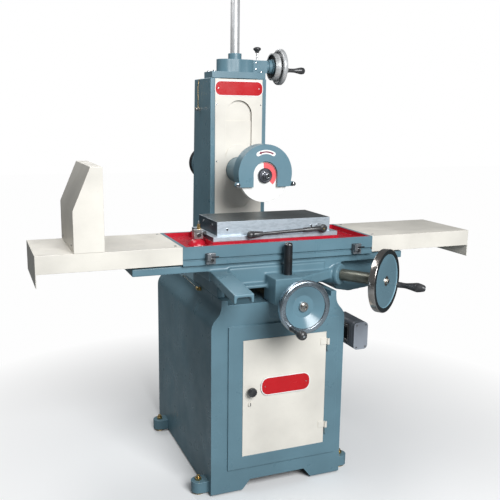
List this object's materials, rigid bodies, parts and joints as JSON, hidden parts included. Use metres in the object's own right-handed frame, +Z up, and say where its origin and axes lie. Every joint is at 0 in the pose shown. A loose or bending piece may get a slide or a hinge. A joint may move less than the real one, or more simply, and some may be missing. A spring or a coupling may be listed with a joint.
{
  "type": "surface grinder",
  "caption": "Manual surface grinder: box cabinet, rear column with vertical wheelhead, long table with magnetic chuck and end guards, moved by handwheels.",
  "frame": {"origin": "centre of the bounding box's bottom face, on the floor", "axes": "+Z up, -Y towards the operator, +X to the operator's right along the table's travel"},
  "size_m": [1.691, 1.199, 1.885],
  "materials": {
    "blue_paint": "semi-gloss machine enamel",
    "cream_paint": "satin sheet-metal enamel",
    "grey_paint": "satin",
    "black_oxide": "blackened steel",
    "black_plastic": "gloss",
    "brass": "machined",
    "chrome": "polished",
    "steel": "turned",
    "ground_steel": "surface ground",
    "abrasive": "vitrified grit"
  },
  "bodies": {
    "base": {"base_cabinet": "blue_paint", "levelling_screw_1": "brass", "levelling_screw_2": "brass", "levelling_screw_3": "brass", "levelling_screw_4": "brass", "door_hinge_lower": "steel", "door_hinge_upper": "steel", "electrical_box": "grey_paint", "electrical_box_cover": "grey_paint", "electrical_box_bracket": "black_oxide", "column": "blue_paint", "column_front_panel": "cream_paint", "column_cap": "blue_paint", "gear_housing": "blue_paint", "screw_cover_tube": "chrome", "cross_feed_nut": "brass"},
    "door": {"cabinet_door": "cream_paint"},
    "door_latch": {"door_knob": "black_plastic"},
    "saddle_body": {"saddle": "blue_paint", "table_stop_post": "black_oxide"},
    "cross_feed": {"cross_feed_screw": "steel", "cross_feed_dial": "black_oxide", "cross_feed_handwheel": "chrome"},
    "cross_feed_grip": {"cross_feed_handle": "black_plastic"},
    "work_table": {"table": "blue_paint", "table_rack": "steel", "table_guard_left": "cream_paint", "table_guard_right": "cream_paint", "splash_hood": "cream_paint", "magnetic_chuck": "ground_steel", "coolant_clamp": "steel"},
    "table_feed": {"table_drive_shaft": "steel", "table_handwheel": "chrome"},
    "table_feed_grip": {"table_handle": "black_plastic"},
    "chuck_switch": {"chuck_lever": "black_oxide"},
    "dog_left": {"table_dog_left": "black_oxide"},
    "dog_right": {"table_dog_right": "black_oxide"},
    "grinding_head": {"wheelhead": "blue_paint", "guard_clamp_ring": "blue_paint", "spindle_motor": "blue_paint", "motor_fan_cover": "black_oxide", "wheel_guard": "blue_paint", "wheel_guard_cover": "blue_paint", "elevating_screw": "steel", "shutter_lower": "cream_paint"},
    "middle_shutter": {"shutter_middle": "cream_paint"},
    "upper_shutter": {"shutter_upper": "cream_paint"},
    "spindle_body": {"spindle": "steel", "wheel_flange_front": "black_oxide", "wheel_flange_rear": "black_oxide", "wheel_nut": "black_oxide", "grinding_wheel": "abrasive"},
    "guard_screw_left": {"guard_knob_left": "chrome"},
    "guard_screw_right": {"guard_knob_right": "chrome"},
    "nut_gear": {"elevating_nut_gear": "brass"},
    "elevating_wheel": {"elevating_pinion": "steel", "elevating_dial": "steel", "elevating_handwheel": "chrome"},
    "elevating_grip": {"elevating_handle": "black_plastic"},
    "elevation_lock": {"elevation_lock_knob": "black_plastic"}
  },
  "joints": [
    {"name": "door_swing", "type": "hinge", "parent": "base", "child": "door", "pos_m": [0.1985, -0.3145, 0.38], "axis": [0, 0, 1], "range_deg": [0, 110]},
    {"name": "door_knob_turn", "type": "hinge", "parent": "door", "child": "door_latch", "pos_m": [-0.1135, -0.3125, 0.402], "axis": [0, 1, 0], "range_deg": [0, 90]},
    {"name": "saddle_slide", "type": "slide", "parent": "base", "child": "saddle_body", "axis": [0, 1, 0], "range_m": [-0.1, 0.095]},
    {"name": "cross_feed_turn", "type": "hinge", "parent": "saddle_body", "child": "cross_feed", "pos_m": [0.0045, -0.5025, 0.756], "axis": [0, 1, 0], "range_deg": [-3601, 3601]},
    {"name": "cross_feed_grip_spin", "type": "hinge", "parent": "cross_feed", "child": "cross_feed_grip", "pos_m": [-0.04836, -0.5225, 0.69072], "axis": [0, 1, 0], "continuous": true},
    {"name": "table_slide", "type": "slide", "parent": "saddle_body", "child": "work_table", "axis": [1, 0, 0], "range_m": [-0.2, 0.2]},
    {"name": "table_feed_turn", "type": "hinge", "parent": "saddle_body", "child": "table_feed", "pos_m": [0.2645, -0.2725, 0.803], "axis": [0.5664, -0.8241, 0], "range_deg": [-265, 265]},
    {"name": "table_grip_spin", "type": "hinge", "parent": "table_feed", "child": "table_feed_grip", "pos_m": [0.45485, -0.36979, 0.76994], "axis": [0.5664, -0.8241, 0], "continuous": true},
    {"name": "chuck_lever_turn", "type": "hinge", "parent": "work_table", "child": "chuck_switch", "pos_m": [0.1865, -0.2635, 0.982], "axis": [0, 1, 0], "range_deg": [0, 180]},
    {"name": "dog_left_slide", "type": "slide", "parent": "work_table", "child": "dog_left", "axis": [1, 0, 0], "range_m": [-0.07, 0.03]},
    {"name": "dog_right_slide", "type": "slide", "parent": "work_table", "child": "dog_right", "axis": [1, 0, 0], "range_m": [-0.05, 0.05]},
    {"name": "wheelhead_slide", "type": "slide", "parent": "base", "child": "grinding_head", "axis": [0, 0, 1], "range_m": [-0.05, 0.19]},
    {"name": "middle_shutter_slide", "type": "slide", "parent": "base", "child": "middle_shutter", "axis": [0, 0, 1], "range_m": [-0.0435, 0.164]},
    {"name": "upper_shutter_slide", "type": "slide", "parent": "base", "child": "upper_shutter", "axis": [0, 0, 1], "range_m": [-0.02, 0.0745]},
    {"name": "elevating_nut_turn", "type": "hinge", "parent": "base", "child": "nut_gear", "pos_m": [0.0045, 0.1955, 1.567], "axis": [0, 0, 1], "range_deg": [-6841, 1801]},
    {"name": "elevating_wheel_turn", "type": "hinge", "parent": "base", "child": "elevating_wheel", "pos_m": [0.2045, 0.1955, 1.588], "axis": [1, 0, 0], "range_deg": [-15961, 4201]},
    {"name": "elevating_grip_spin", "type": "hinge", "parent": "elevating_wheel", "child": "elevating_grip", "pos_m": [0.2345, 0.13754, 1.57247], "axis": [1, 0, 0], "continuous": true},
    {"name": "elevation_lock_turn", "type": "hinge", "parent": "base", "child": "elevation_lock", "pos_m": [0.1015, 0.1955, 1.64], "axis": [0, 0, 1], "range_deg": [0, 180]},
    {"name": "spindle_spin", "type": "hinge", "parent": "grinding_head", "child": "spindle_body", "pos_m": [0.0045, -0.1225, 1.17], "axis": [0, 1, 0], "continuous": true},
    {"name": "guard_knob_left_turn", "type": "hinge", "parent": "grinding_head", "child": "guard_screw_left", "pos_m": [-0.1075, -0.1475, 1.138], "axis": [0, 1, 0], "continuous": true},
    {"name": "guard_knob_right_turn", "type": "hinge", "parent": "grinding_head", "child": "guard_screw_right", "pos_m": [0.1165, -0.1475, 1.138], "axis": [0, 1, 0], "continuous": true}
  ],
  "couplings": [
    {"joint": "cross_feed_turn", "follows": "saddle_slide", "rad_per_m": 628.32},
    {"joint": "table_feed_turn", "follows": "table_slide", "rad_per_m": -23.113},
    {"joint": "middle_shutter_slide", "follows": "wheelhead_slide", "ratio": 0.86},
    {"joint": "upper_shutter_slide", "follows": "wheelhead_slide", "ratio": 0.39},
    {"joint": "elevating_nut_turn", "follows": "wheelhead_slide", "rad_per_m": -628.32},
    {"joint": "elevating_wheel_turn", "follows": "wheelhead_slide", "rad_per_m": -1466.1}
  ]
}
